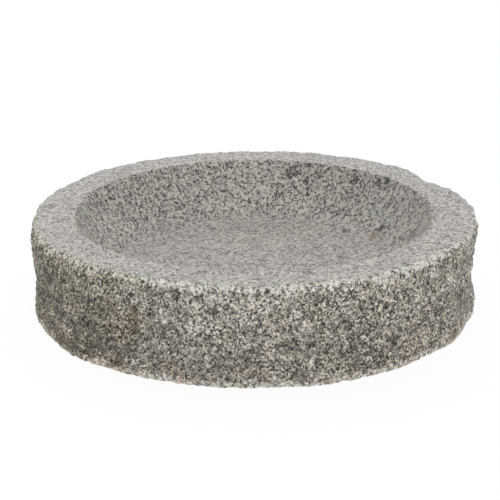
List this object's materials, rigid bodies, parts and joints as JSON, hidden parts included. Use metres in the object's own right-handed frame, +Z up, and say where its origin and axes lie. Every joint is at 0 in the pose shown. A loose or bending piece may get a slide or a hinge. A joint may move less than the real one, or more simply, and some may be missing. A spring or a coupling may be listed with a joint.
{
  "type": "birdbath",
  "caption": "Low round birdbath cut from one block of speckled grey granite, with a rough hewn side, a flat honed rim and a ground bowl for shallow water.",
  "frame": {"origin": "middle of the sawn base, on the bowl's axis, where the stone meets the ground", "axes": "+Z up along the bowl's axis, from the sawn base to the honed rim; -Y faces the viewer of the picture"},
  "size_m": [0.4102, 0.4134, 0.085],
  "materials": {
    "granite": "honed rim and bowl, hewn side, sawn base"
  },
  "bodies": {
    "root": {"basin": "granite"}
  },
  "joints": []
}
